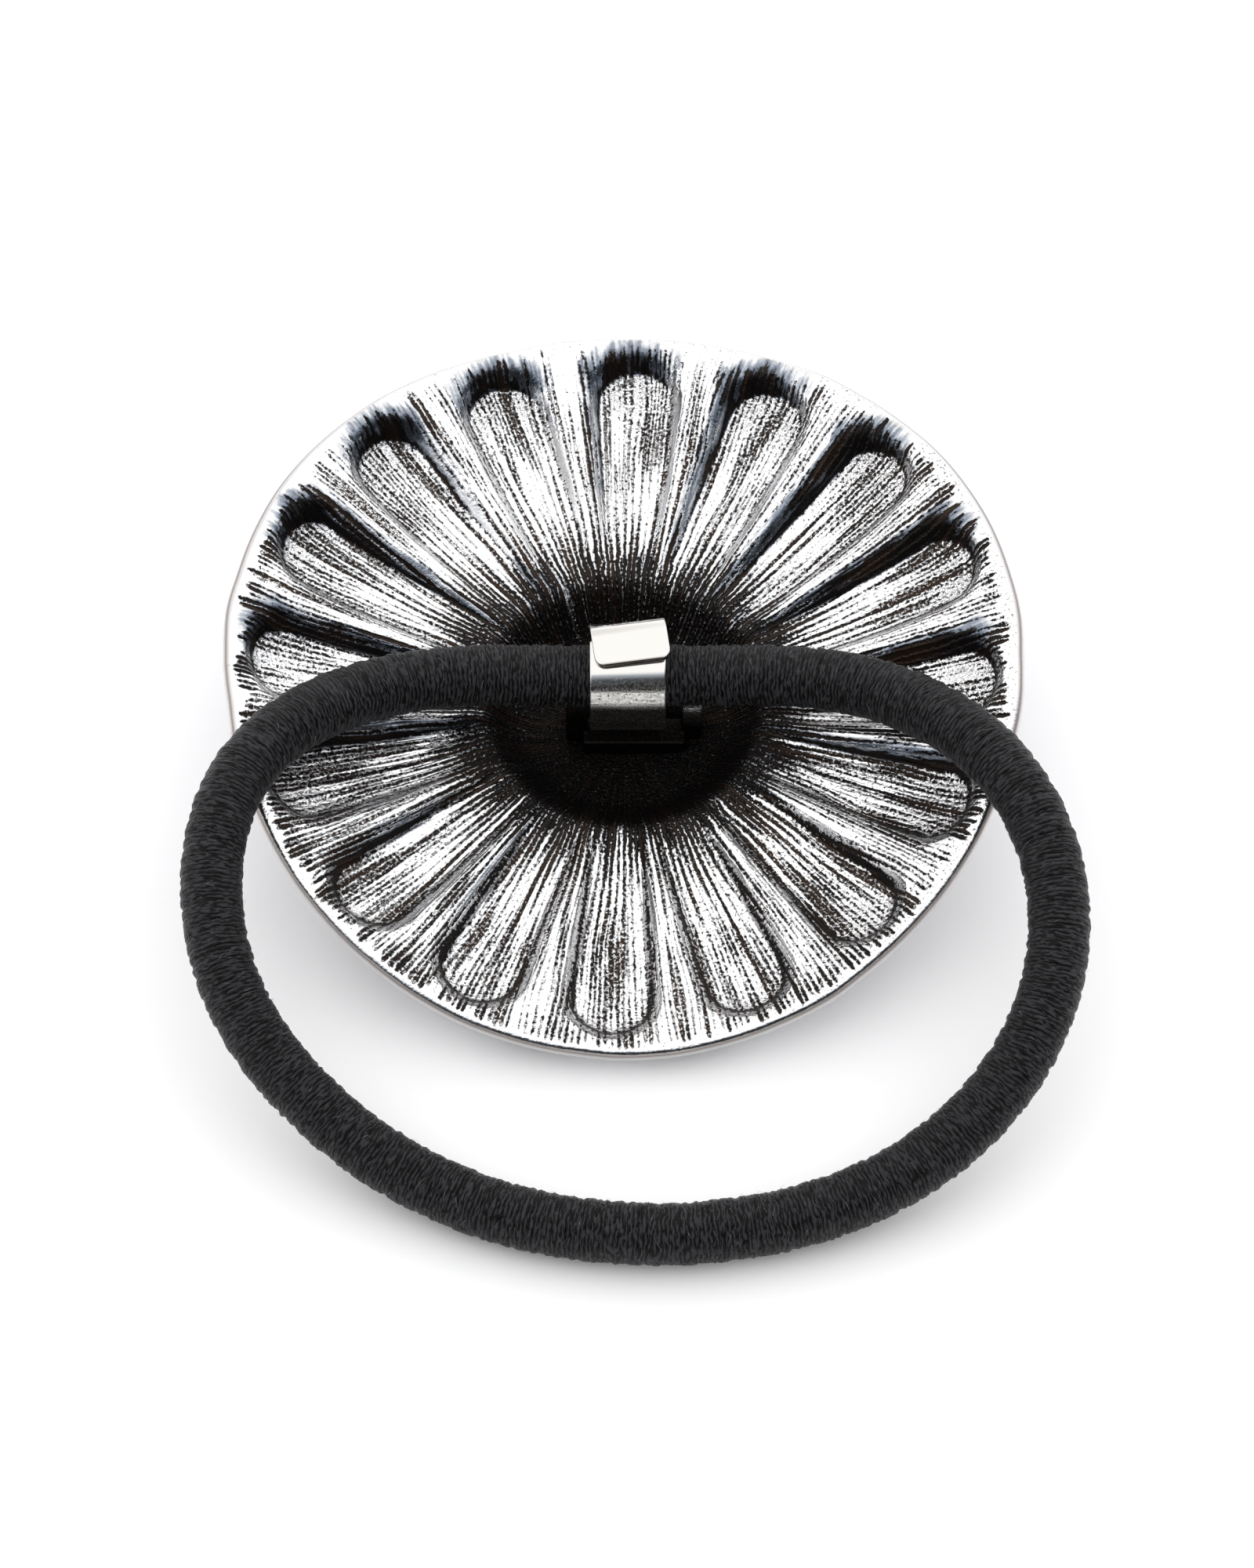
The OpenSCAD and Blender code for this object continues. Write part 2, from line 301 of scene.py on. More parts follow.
def loft(rings):
    """Joins rings of points into faces, also where one ring has a whole number of times the
    points of the next, and closes both ends with a fan. Returns all points and the faces."""
    points = np.vstack(rings)
    faces = []
    start = 0
    for a, b in zip(rings, rings[1:]):
        fewer, more = sorted((len(a), len(b)))
        other = start + len(a)
        few, many = (start, other) if len(a) < len(b) else (other, start)
        ratio = more // fewer
        for i in range(fewer):
            j = (i + 1) % fewer
            if ratio == 1:
                faces.append((start + i, other + i, other + j, start + j))
                continue
            fan = [(few + (i if k < ratio // 2 else j), many + i * ratio + k,
                    many + (i * ratio + k + 1) % more) for k in range(ratio)]
            fan.append((few + i, many + i * ratio + ratio // 2, few + j))
            faces += fan if few == start else [face[::-1] for face in fan]
        start = other
    first, last = rings[0], rings[-1]
    points = np.vstack([points, first.mean(0), last.mean(0)])
    end = len(points) - 2
    faces += [(end, i, (i + 1) % len(first)) for i in range(len(first))]
    faces += [(end + 1, start + (i + 1) % len(last), start + i) for i in range(len(last))]
    return points, faces


def with_ends(values):
    """Values for a loft's points, and for the two that close its first and last ring."""
    return np.concatenate([values, values[:1], values[-1:]])


def make_piece(name, points, faces, slot, material, nodes=(), **attributes):
    """A mesh object on the frame's one body, in metres, with a value for each point by name."""
    mesh = bpy.data.meshes.new(name)
    mesh.from_pydata((np.asarray(points) * MM).tolist(), [], faces)
    for key, values in attributes.items():
        kind = "FLOAT_VECTOR" if np.ndim(values) == 2 else "FLOAT"
        data = mesh.attributes.new(key, kind, "POINT").data
        data.foreach_set("vector" if kind == "FLOAT_VECTOR" else "value",
                         np.asarray(values, float).ravel())
    mesh.shade_smooth()
    mesh.materials.append(material)
    piece = bpy.data.objects.new(name, mesh)
    bpy.context.scene.collection.objects.link(piece)
    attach(piece, "root")
    if nodes:
        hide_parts(*nodes)
    return piece


# Settings that nodes share: a range that starts and ends softly, and a mix of colours
SOFT = {"interpolation_type": "SMOOTHSTEP"}
IN_COLOUR = {"data_type": "RGBA"}


def fill(node, inputs):
    """Gives a node's inputs their values or links, by name or in their order."""
    for socket, value in inputs.items() if isinstance(inputs, dict) else enumerate(inputs):
        if isinstance(value, bpy.types.NodeSocket):
            node.id_data.links.new(value, node.inputs[socket])
        else:
            node.inputs[socket].default_value = value


def add(tree, kind, inputs=(), output=0, stops=(), **settings):
    """Adds a node with its settings, fills its inputs and returns one of its outputs. A kind in
    capitals is the operation of a Math node. The stops of a colour ramp are (place, colour)."""
    if kind.isupper():
        kind, settings = "Math", {"operation": kind}
    node = tree.nodes.new("ShaderNode" + kind)
    for key, value in settings.items():
        setattr(node, key, value)
    for place, _ in stops[1:-1]:
        node.color_ramp.elements.new(place)
    for i, (place, shade) in enumerate(stops):
        node.color_ramp.elements[i].position = place
        node.color_ramp.elements[i].color = shade
    fill(node, inputs)
    return node.outputs[output]


def new_material(name):
    """An empty material as (material, what adds a node to it, its shader)."""
    material = bpy.data.materials.new(name)
    material.use_nodes = True
    tree = material.node_tree
    return material, partial(add, tree), tree.nodes["Principled BSDF"]


def groove_count(s):
    """Grooves at the rim: an even number, as every second one ends short of the cup."""
    return 2 * round(PI * s.disc_radius / s.groove_pitch)


def cast_silver(s):
    """Zinc casting, silver plated, dipped black and rubbed bright: the high places are mirror
    bright with soft edges, and the grooves and the cup stay a slightly glossy black."""
    c = colours()
    material, node, shader = new_material("antique_silver_casting")
    place = node("Attribute", output="Vector", attribute_name="flat_place")
    finish = node("Attribute", output="Vector", attribute_name="finish")
    wear = node("Attribute", output="Vector", attribute_name="wear")
    black, grooved, pebbled = node("SeparateXYZ", [finish]).node.outputs
    wander, smooth, edge = node("SeparateXYZ", [wear]).node.outputs
    x, y, _ = node("SeparateXYZ", [place]).node.outputs
    outward = node("VectorMath", [place], operation="NORMALIZE")
    radius = node("VectorMath", [place], "Value", operation="LENGTH")

    def polar_noise(around, along, detail, seed):
        """Noise with no seam whose cells are so many millimetres wide at the petals' ends, and
        so many long."""
        wide = node("VectorMath", {0: outward, "Scale": PETAL_ENDS / around}, operation="SCALE")
        lift = node("CombineXYZ", {"Z": node("MULTIPLY_ADD", (radius, 1 / along, seed))})
        where = node("VectorMath", (wide, lift), operation="ADD")
        return node("TexNoise", {"Vector": where, "Scale": 1.0, "Detail": detail, "Roughness": 0.6})

    # Casting grain of 0.2 mm
    grain = node("TexNoise", {"Vector": place, "Scale": 1 / 0.2, "Detail": 2.0, "Roughness": 0.6})
    offset = node("SUBTRACT", (grain, 0.5))
    # Every second groove ends short of the cup
    count = groove_count(s)
    phase = node("MULTIPLY_ADD", (node("ARCTAN2", (y, x)), count / (2 * PI), wander))
    ends = node("MapRange", {"Value": radius, "From Min": 12.0, "From Max": 19.0,
                             "To Min": 1.0, "To Max": 0.0})
    long_one = node("PINGPONG", (phase, 1.0))
    short_one = node("PINGPONG", (node("ADD", (phase, 1.0)), 1.0))
    nearest = node("MINIMUM", (long_one, node("ADD", (short_one, ends))))
    spacing = node("MULTIPLY", (radius, 2 * PI / count))
    frayed = node("MULTIPLY_ADD", (pebbled, 0.4, 0.22))
    away = node("MULTIPLY_ADD", (offset, frayed, node("MULTIPLY", (nearest, spacing))))
    # Each is a chain of beads 0.4 mm long, some run on for longer, and none is over 0.24 mm wide
    beads = polar_noise(0.21, 0.38, 2.0, 0.0)
    runs = polar_noise(0.6, 5.0, 0.0, 9.1)
    beaded = node("SUBTRACT", (beads, 0.5))
    width = node("MULTIPLY_ADD", (beaded, 0.27, node("MULTIPLY", (grooved, 0.11))))
    width = node("MULTIPLY_ADD", (node("SUBTRACT", (runs, 0.5)), 0.4, width))
    most = node("MULTIPLY", (node("MULTIPLY_ADD", (ends, 0.33, 0.36)), spacing))
    width = node("MINIMUM", (width, node("MINIMUM", (most, 0.24 / 2))))
    cut = node("SUBTRACT", (width, away))
    groove = node("MapRange", {"Value": cut, "From Min": -0.06, "From Max": 0.03}, **SOFT)
    hollow = node("MapRange", {"Value": cut, "From Min": -0.1, "From Max": 0.06}, **SOFT)
    # The black also stays in the pits of the grain, and in curls where the metal is pebbled
    curl = node("MapRange", {"Value": node("ABSOLUTE", [offset]), "From Max": 0.05,
                             "To Min": 0.55, "To Max": 0.0})
    open_metal = node("SUBTRACT", (1.0, smooth))
    filled = node("MULTIPLY", (groove, node("MULTIPLY_ADD", (grooved, 0.5, 0.38))))
    # The black on the walls, partly dip and partly painted dark reflection, breaks up in radial streaks
    # 0.3 mm wide
    wiped = node("SUBTRACT", (polar_noise(0.3, 2.5, 1.0, 4.3), 0.5))
    wiped = node("MULTIPLY", (node("MULTIPLY_ADD", (beaded, 0.4, wiped)), smooth))
    streaked = node("MULTIPLY_ADD", (wiped, 0.7, black))
    pits = node("MULTIPLY_ADD", (open_metal, -2.0, -0.15))
    stain = node("MULTIPLY_ADD", (curl, pebbled, node("ADD", (filled, streaked))))
    stain = node("MULTIPLY_ADD", (offset, pits, stain))
    mask = node("MapRange", {"Value": stain, "From Min": 0.3, "From Max": 0.55}, **SOFT)
    brown = node("MapRange", {"Value": runs, "From Min": 0.5, "From Max": 0.8})
    dark = node("Mix", {"Factor": brown, "A": c.patina, "B": c.patina_edge}, "Result", **IN_COLOUR)
    bright = node("Mix", {"Factor": edge, "A": c.silver, "B": c.rim_edge}, "Result", **IN_COLOUR)
    # Rubbed thin, the black is a brown-grey film beside the grooves, and an even blue-grey one on the
    # smooth walls and in the cup. On the walls that face the lower right that blue-grey is painted
    # reflection, the edge of their painted dark
    even = node("MapRange", {"Value": node("MULTIPLY", (streaked, smooth)), "From Min": 0.05,
                             "From Max": 0.42}, **SOFT)
    thin = node("MapRange", {"Value": mask, "From Max": 0.5})
    thick = node("MapRange", {"Value": mask, "From Min": 0.5})
    film = node("Mix", {"Factor": smooth, "A": c.rim_edge, "B": c.film}, "Result", **IN_COLOUR)
    filmed = node("Mix", {"Factor": node("MAXIMUM", (even, thin)), "A": bright, "B": film},
                  "Result", **IN_COLOUR)
    shade = node("Mix", {"Factor": thick, "A": filmed, "B": dark}, "Result", **IN_COLOUR)
    rough = node("MapRange", {"Value": mask, "To Min": 0.16, "To Max": 0.42})
    rough = node("MAXIMUM", (rough, node("MULTIPLY", (edge, 0.5))))
    # Height in millimetres
    height = node("MULTIPLY", (grain, node("MULTIPLY_ADD", (pebbled, 0.08, 0.02))))
    height = node("MULTIPLY_ADD", (hollow, -s.groove_depth, height))
    bump = node("Bump", {"Height": height, "Strength": 1.0, "Distance": MM})
    fill(shader, {"Base Color": shade, "Metallic": 1.0, "Roughness": rough, "Normal": bump})
    return material


def plated_strip():
    """Rolled strip, plated bright: near white with faint streaks across it, and stained brown and
    black where the black dip crept in round the bar."""
    c = colours()
    material, node, shader = new_material("bright_plated_strip")
    place = node("Attribute", output="Vector", attribute_name="strip_place")
    stain = node("Attribute", output="Fac", attribute_name="stain")
    sheared = node("Attribute", output="Fac", attribute_name="sheared")
    # Streaks 0.5 mm long and 0.16 mm wide, and specks of 0.17 mm
    stretched = node("VectorMath", (place, (1.2, 4.0, 4.0)), operation="MULTIPLY")
    streaks = node("TexNoise", {"Vector": stretched, "Scale": 1.6, "Detail": 4.0})
    specks = node("TexNoise", {"Vector": place, "Scale": 6.0, "Detail": 3.0, "Roughness": 0.7})
    stained = node("MULTIPLY_ADD", (specks, 1.2, stain))
    stained = node("MULTIPLY_ADD", (streaks, 0.6, stained))
    mask = node("MapRange", {"Value": stained, "From Min": 1.38, "From Max": 1.52}, **SOFT)
    tint = node("ValToRGB", {"Fac": mask}, stops=((0, c.strip), (0.55, c.tarnish), (1, c.patina)))
    # Grey on the flap's end face
    shade = node("Mix", {"Factor": sheared, "A": tint, "B": c.rim_edge}, "Result", **IN_COLOUR)
    rough = node("MapRange", {"Value": stained, "From Min": 1.05, "From Max": 1.55,
                              "To Min": 0.1, "To Max": 0.4})
    # Etched by the dip where it is stained
    etched = node("MULTIPLY", (stained, stain))
    bump = node("Bump", {"Height": etched, "Strength": 1.0, "Distance": 0.012 * MM})
    fill(shader, {"Base Color": shade, "Metallic": 1.0, "Roughness": rough, "Normal": bump})
    return material


def wound_yarn(s):
    """Fine black polyester yarn wound tight over rubber: matt black, dark grey on the crowns of the
    yarns and near black between them as painted shade, with a faint sheen, and the yarns cross the
    elastic in short wavy lengths."""
    c = colours()
    material, node, shader = new_material("black_wound_yarn")
    # cord_place is [mm along, mm round as two ordinates]: two units a pitch along the elastic, and
    # about 1 mm of a yarn shows before it dips under its neighbours
    place = node("Attribute", output="Vector", attribute_name="cord_place")
    stretched = node("VectorMath", (place, (2.0 / s.yarn_pitch, 1.8, 1.8)), operation="MULTIPLY")
    wave = node("TexNoise", {"Vector": place, "Scale": 0.9, "Detail": 2.0}, "Color")
    pushed = node("VectorMath", (wave, (3.0, 0.0, 0.0), stretched), operation="MULTIPLY_ADD")
    yarns = node("TexNoise", {"Vector": pushed, "Scale": 1.0, "Detail": 0.8, "Roughness": 0.5})
    # Narrower turns of yarn wouldn't show, so they are drawn half as wide again as the pitch
    coarser = 1.5
    turns = node("PINGPONG", (node("SeparateXYZ", [pushed], "X"), coarser))
    rise = node("MULTIPLY_ADD", (turns, 0.16, yarns))
    crown = node("MapRange", {"Value": rise, "From Min": 0.57, "From Max": 0.69}, **SOFT)
    # Painted shade: the gaps between the crowns are near black
    shade = node("Mix", {"Factor": crown, "A": c.between, "B": c.yarn}, "Result", **IN_COLOUR)
    bump = node("Bump", {"Height": rise, "Strength": 1.0, "Distance": 0.25 * MM})
    fill(shader, {"Base Color": shade, "Roughness": 0.4, "Specular IOR Level": 0.16,
                  "Sheen Weight": 0.02, "Sheen Roughness": 0.4, "Normal": bump})
    return material


def plain(name, shade, roughness):
    """A material of one colour."""
    material, _, shader = new_material(name)
    fill(shader, {"Base Color": shade, "Roughness": roughness})
    return material


# Light that the metal mirrors, from the dark room in front to the white tent behind
TENT = (
    (0.1, (0.012, 0.012, 0.013, 1)), (0.25, (0.08, 0.09, 0.105, 1)), (0.37, (0.5, 0.55, 0.62, 1)),
    (0.46, (1.35, 1.35, 1.35, 1)), (0.9, (1.35, 1.35, 1.35, 1)), (0.96, (1.1, 1.09, 1.08, 1)),
)
BACKDROP = (0.9, 0.9, 0.9, 1)


def white_tent():
    """What the metal mirrors is a white tent above, behind and left of it, with an edge of grey
    cloth, and the dark room in front, where the photographer stands. The table is lit by a wide
    lamp over the tent, strongest from behind."""
    world = bpy.data.worlds.new("white_tent")
    world.use_nodes = True
    node = partial(add, world.node_tree)
    direction = node("TexCoord", output="Generated")
    rays = node("LightPath").node.outputs
    mirrored = node("VectorMath", (direction, (-0.3, 0.75, 0.6)), "Value", operation="DOT_PRODUCT")
    forward = node("MapRange", {"Value": mirrored, "From Min": -0.6, "From Max": 1.05})
    tent = node("ValToRGB", {"Fac": forward}, stops=TENT)
    above = node("VectorMath", (direction, (0.0, 0.5, 0.87)), "Value", operation="DOT_PRODUCT")
    lamp = node("MapRange", {"Value": above, "From Min": -0.3, "From Max": 0.9,
                             "To Min": 0.84, "To Max": 1.55})
    lit = node("Mix", {"Factor": rays["Is Glossy Ray"], "A": lamp, "B": tent}, "Result", **IN_COLOUR)
    seen = node("Mix", {"Factor": rays["Is Camera Ray"], "A": lit, "B": BACKDROP},
                "Result", **IN_COLOUR)
    fill(world.node_tree.nodes["Background"], {"Color": seen})
    return world


def photo_camera(s):
    """The camera that took the photograph. It looks a little below the disc, which sits above the
    middle of the picture."""
    focal = PIXELS_PER_MM * CAMERA_DISTANCE
    lens = bpy.data.cameras.new("camera")
    lens.sensor_fit = "VERTICAL"
    lens.sensor_height = FILM_HEIGHT
    lens.lens = focal / PHOTO_HEIGHT * FILM_HEIGHT
    lens.clip_start = 0.01
    camera = bpy.data.objects.new("camera", lens)
    beside = (PHOTO_WIDTH / 2 - DISC_PIXEL[0]) / PIXELS_PER_MM
    lower = math.atan2(PHOTO_HEIGHT / 2 - DISC_PIXEL[1], focal)
    camera.location = (beside * MM, (CENTRE_Y - CAMERA_DISTANCE * math.cos(SEEN_FROM_ABOVE)) * MM,
                       (s.rest_height + CAMERA_DISTANCE * math.sin(SEEN_FROM_ABOVE)) * MM)
    camera.rotation_euler = (PI / 2 - SEEN_FROM_ABOVE - lower, 0, 0)
    return camera


class HAIRTIE_OT_stage(bpy.types.Operator):
    """Makes the table, the soft lights and the camera at the photograph's angle"""
    bl_idname = "hair_tie.make_stage"
    bl_label = "Make stage"

    def execute(self, context):
        scene = context.scene
        scene.view_settings.view_transform = "Standard"
        bpy.ops.mesh.primitive_plane_add(size=TABLE_SIZE)
        table = context.object
        table.name = "table"
        # Matt painted board: it mirrors nothing, so only the soft shadows show on it
        table.data.materials.append(plain("matt_white_table", colours().floor, 0.9))
        scene.world = white_tent()
        camera = photo_camera(sizes())
        scene.collection.objects.link(camera)
        scene.camera = camera
        return {"FINISHED"}


def elastic_route(s):
    """The points beside which the elastic runs round the ring, from the clip."""
    y = CENTRE_Y + ELASTIC_BELOW * math.sin(s.tilt)
    z = s.rest_height - ELASTIC_BELOW * math.cos(s.tilt)
    return [
        [0, y, z], [5.5, y, z], [10.8, -0.9, 9.5], [15.7, -2.5, 10.4],
        [20, -5.5, 11.4], [23.7, -9.5, 11.9], [26.2, -14.2, 11.5], [27.4, -19.2, 10.2],
        [27, -24.2, 8.4], [25.1, -28.7, 6.4], [21.8, -32.5, 4.5], [17.5, -35.5, 3],
        [12.5, -37.6, 2.2], [7.1, -38.9, 2], [1.6, -39.3, 2], [-3.9, -38.7, 2],
        [-9.1, -37.1, 2], [-14.1, -34.7, 2.6], [-18.6, -31.7, 4], [-22.4, -28.1, 5.9],
        [-25, -23.9, 8], [-26, -19.1, 10], [-25.6, -14.1, 11.5], [-23.7, -9.4, 11.9],
        [-20.2, -5.4, 11.3], [-15.8, -2.5, 10.3], [-10.8, -0.9, 9.5], [-5.5, y, z],
    ]


def along_route(route, count):
    """Evenly spaced points on the smooth closed curve beside the route, and how far along they
    lie."""
    route = np.array(route, float)
    n = len(route)
    samples = 200 * n
    u = np.linspace(0, n, samples, endpoint=False)
    i, f = u.astype(int), (u % 1)[:, None]
    weights = ((1 - f) ** 3, 3 * f ** 3 - 6 * f ** 2 + 4, -3 * f ** 3 + 3 * f ** 2 + 3 * f + 1, f ** 3)
    curve = sum(w * route[(i + k - 1) % n] for k, w in enumerate(weights)) / 6
    steps = np.linalg.norm(np.roll(curve, -1, 0) - curve, axis=1)
    walked = np.concatenate([[0], np.cumsum(steps)])
    closed = np.vstack([curve, curve[:1]])
    stations = np.linspace(0, walked[-1], count, endpoint=False)
    return np.column_stack([np.interp(stations, walked, closed[:, k]) for k in range(3)]), stations


def cross_axes(centres):
    """Two unit vectors across a closed curve at each of its points, the second one upwards."""
    ahead = np.roll(centres, -1, 0) - np.roll(centres, 1, 0)
    ahead /= np.linalg.norm(ahead, axis=1)[:, None]
    side = np.cross(ahead, (0, 0, 1))
    side /= np.linalg.norm(side, axis=1)[:, None]
    return side, np.cross(side, ahead)


CORD_RINGS, CORD_SIDES = 1500, 40
RIB_PLACES = 7  # places round the elastic at which a turn of yarn has a height of its own
RIB_MEAN = 0.06  # how far a turn lies below the full radius
RIB_CHANGE = 0.09  # how much that changes


def yarn_radius(s, turn):
    """The elastic's radius at each ring and angle. Every yarn is wound a little tighter or
    slacker, and its height changes on its way round the elastic."""
    rng = np.random.default_rng(5)
    ribs = rng.normal(size=(CORD_RINGS, RIB_PLACES))
    ribs = (ribs + np.roll(ribs, 1, 0) + np.roll(ribs, -1, 0)) / 3
    way = turn / (2 * PI) * RIB_PLACES
    low, part = way.astype(int), way % 1
    height = ribs[:, low % RIB_PLACES] * (1 - part) + ribs[:, (low + 1) % RIB_PLACES] * part
    radius = s.elastic / 2 - RIB_MEAN + RIB_CHANGE * np.clip(height, -1.5, 1.5)
    return np.minimum(radius, s.elastic / 2)


class HAIRTIE_OT_elastic(bpy.types.Operator):
    """Makes the closed loop of covered elastic with the yarn wound round it"""
    bl_idname = "hair_tie.make_elastic"
    bl_label = "Make elastic"

    def execute(self, context):
        s = sizes()
        centres, stations = along_route(elastic_route(s), CORD_RINGS)
        side, up = cross_axes(centres)
        turn = np.arange(CORD_SIDES) * 2 * PI / CORD_SIDES
        across, above = np.cos(turn), np.sin(turn)
        out = across[:, None] * side[:, None] + above[:, None] * up[:, None]
        points = centres[:, None] + yarn_radius(s, turn)[..., None] * out
        here = np.arange(CORD_RINGS * CORD_SIDES).reshape(CORD_RINGS, CORD_SIDES)
        ahead = np.roll(here, -1, 0)
        faces = np.stack([here, np.roll(here, -1, 1), np.roll(ahead, -1, 1), ahead], -1)
        place = np.empty(points.shape)
        place[..., 0] = stations[:, None]
        place[..., 1] = s.elastic / 2 * across
        place[..., 2] = s.elastic / 2 * above
        piece = make_piece("elastic_loop", points.reshape(-1, 3), faces.reshape(-1, 4).tolist(),
                           "black_elastic", wound_yarn(s), ["elastic"],
                           cord_place=place.reshape(-1, 3))
        return {"FINISHED"}


FIBRES = 360
FIBRE_KNOTS, FIBRE_SIDES = 6, 3
CLEAR_RINGS = 60  # rings on either side of the clip that have no fibre


class HAIRTIE_OT_fibres(bpy.types.Operator):
    """Makes the loose ends of yarn that stand off the elastic"""
    bl_idname = "hair_tie.make_fibres"
    bl_label = "Make loose fibres"

    def execute(self, context):
        s = sizes()
        rng = np.random.default_rng(11)
        centres, _ = along_route(elastic_route(s), CORD_RINGS)
        side, up = cross_axes(centres)
        points, faces = [], []
        for _ in range(FIBRES):
            i = rng.integers(CLEAR_RINGS, CORD_RINGS - CLEAR_RINGS)
            a = rng.uniform(0, 2 * PI)
            out = math.cos(a) * side[i] + math.sin(a) * up[i]
            # None lies between the elastic and the table
            if centres[i][2] < s.elastic / 2 + 0.4 and out[2] < -0.2:
                continue
            ahead = np.cross(up[i], side[i])
            around = np.cross(ahead, out)
            lean = rng.uniform(-0.7, 0.7) * ahead + rng.choice([-1, 1]) * around
            reach, lift = rng.uniform(0.3, 1.1), rng.uniform(0.02, 0.2)
            thick = rng.uniform(0.007, 0.013)
            base = centres[i] + out * (s.elastic / 2 - RIB_MEAN)
            first = len(points)
            # It stands off in an arc, follows the elastic round and thins to a point
            for t in np.linspace(0, 1, FIBRE_KNOTS):
                spot = (base + lean * reach * (t - 0.5) + out * (lift * 4 * t * (1 - t) + 0.02)
                        - out * (reach * (t - 0.5)) ** 2 / s.elastic)
                for b in np.arange(FIBRE_SIDES) * 2 * PI / FIBRE_SIDES:
                    points.append(spot + thick * (1.05 - t) * (math.cos(b) * out + math.sin(b) * ahead))
            last = len(points) - FIBRE_SIDES
            for row in range(first, last, FIBRE_SIDES):
                for k in range(FIBRE_SIDES):
                    j = (k + 1) % FIBRE_SIDES
                    faces.append((row + k, row + j, row + FIBRE_SIDES + j, row + FIBRE_SIDES + k))
            faces.append(tuple(reversed(range(first, first + FIBRE_SIDES))))
            faces.append(tuple(range(last, last + FIBRE_SIDES)))
        # Loose ends of the black polyester yarn: dull hairs painted grey as the highlight they catch
        # against the black yarn
        make_piece("loose_fibres", points, faces, "black_elastic",
                   plain("grey_fibre_highlights", colours().lint, 0.6))
        return {"FINISHED"}


# The staple: depth of its legs in bar radii, depth and height of its foot, how far the foot goes
# into each leg, and how far both go into the cup's floor
LEG_DEEP = 1.6
FOOT_DEEP = 3.7
FOOT_HIGH = 1.94
FOOT_LAP = 0.2
SUNK = 0.35
STAPLE_VOXEL = 0.1


def staple_solid(s):
    """The staple in the cup as one soft-edged casting, in the disc's own frame: two legs, the
    foot that joins them, and the bar."""
    bar_z = -ELASTIC_BELOW - bar_drop(s)
    floor_z = -sagitta(s) / 2 - s.dish - s.cup_depth
    parts = [((side * s.leg_span / 2, 0, (bar_z + floor_z - SUNK) / 2),
              (s.leg_width, s.bar_radius * LEG_DEEP, bar_z - floor_z + SUNK)) for side in (-1, 1)]
    parts.append(((0, 0, floor_z - SUNK + FOOT_HIGH / 2),
                  (s.leg_span - s.leg_width + 2 * FOOT_LAP, FOOT_DEEP, FOOT_HIGH)))
    shape = bmesh.new()
    for place, size in parts:
        bmesh.ops.create_cube(shape, size=1, matrix=Matrix.LocRotScale(
            Vector(place) + Vector((s.staple_shift, 0, 0)), None, Vector(size)))
    bmesh.ops.create_cone(shape, cap_ends=True, segments=48, radius1=s.bar_radius,
                          radius2=s.bar_radius, depth=s.leg_span + s.leg_width,
                          matrix=Matrix.Translation((s.staple_shift, 0, bar_z))
                          @ Matrix.Rotation(PI / 2, 4, "Y"))
    mesh = bpy.data.meshes.new("staple")
    shape.to_mesh(mesh)
    shape.free()
    piece = bpy.data.objects.new("staple", mesh)
    bpy.context.scene.collection.objects.link(piece)
    remesh = piece.modifiers.new("melt", "REMESH")
    remesh.mode = "VOXEL"
    remesh.voxel_size = STAPLE_VOXEL
    smooth = piece.modifiers.new("soften", "SMOOTH")
    smooth.iterations = 6
    done = bpy.data.meshes.new_from_object(piece.evaluated_get(bpy.context.evaluated_depsgraph_get()))
    points = np.empty(len(done.vertices) * 3)
    done.vertices.foreach_get("co", points)
    faces = [tuple(f.vertices) for f in done.polygons]
    bpy.data.objects.remove(piece)
    bpy.data.meshes.remove(done)
    return points.reshape(-1, 3), faces


def staple_finish(s, points):
    """Black all over, but less black on the right leg's near side and top."""
    finish = np.tile([0.7, -1.0, 0.05], (len(points), 1))
    x, y, z = points.T
    right = x > s.staple_shift + s.leg_span / 2 - 0.5
    finish[:, 0] -= 0.55 * right * ramp(z, -6, -5) * ramp(y, 0.5, 0)
    return finish


def disc_places(s, rings):
    """What lies where: for each point of the disc's rings in turn its place, how it lies to the
    petals and to the rim, and the lumps that an uneven casting has there."""
    counts = [count for _, count, _ in rings]
    p = SimpleNamespace()
    p.r = np.repeat([radius for radius, _, _ in rings], counts)
    p.over = np.repeat([share for _, _, share in rings], counts)
    p.turn = np.concatenate([np.arange(count) * 2 * PI / count for count in counts])
    p.x, p.y = p.r * np.cos(p.turn), p.r * np.sin(p.turn)
    p.across, p.off = petal_place(s, p.r, p.turn, 0)
    p.petal = softened(PETAL_ALONG, p.r, 0.5)
    p.lower = 0.5 - 0.5 * np.sin(p.turn)
    p.rim = ramp(p.r, 23.6, 24.4)
    # The polishing wheel reached the round ends of the lower petals best
    p.rubbed = ramp(p.r, 18.5, 21.5) * ramp(p.across, 0.74, 0.64) * p.lower
    # Lumps of each kind round the disc, and out from its middle
    kinds = {"rough": (500, 60), "soft": (90, 14), "uneven": (groove_count(s), 4), "bends": (96, 7),
             "kinks": (110, 40), "ragged": (150, 2), "filed": (48, 2)}
    rng = np.random.default_rng(3)
    for name, (around, out) in kinds.items():
        setattr(p, name, lumps(rng, p.r, p.turn, around, out))
    return p


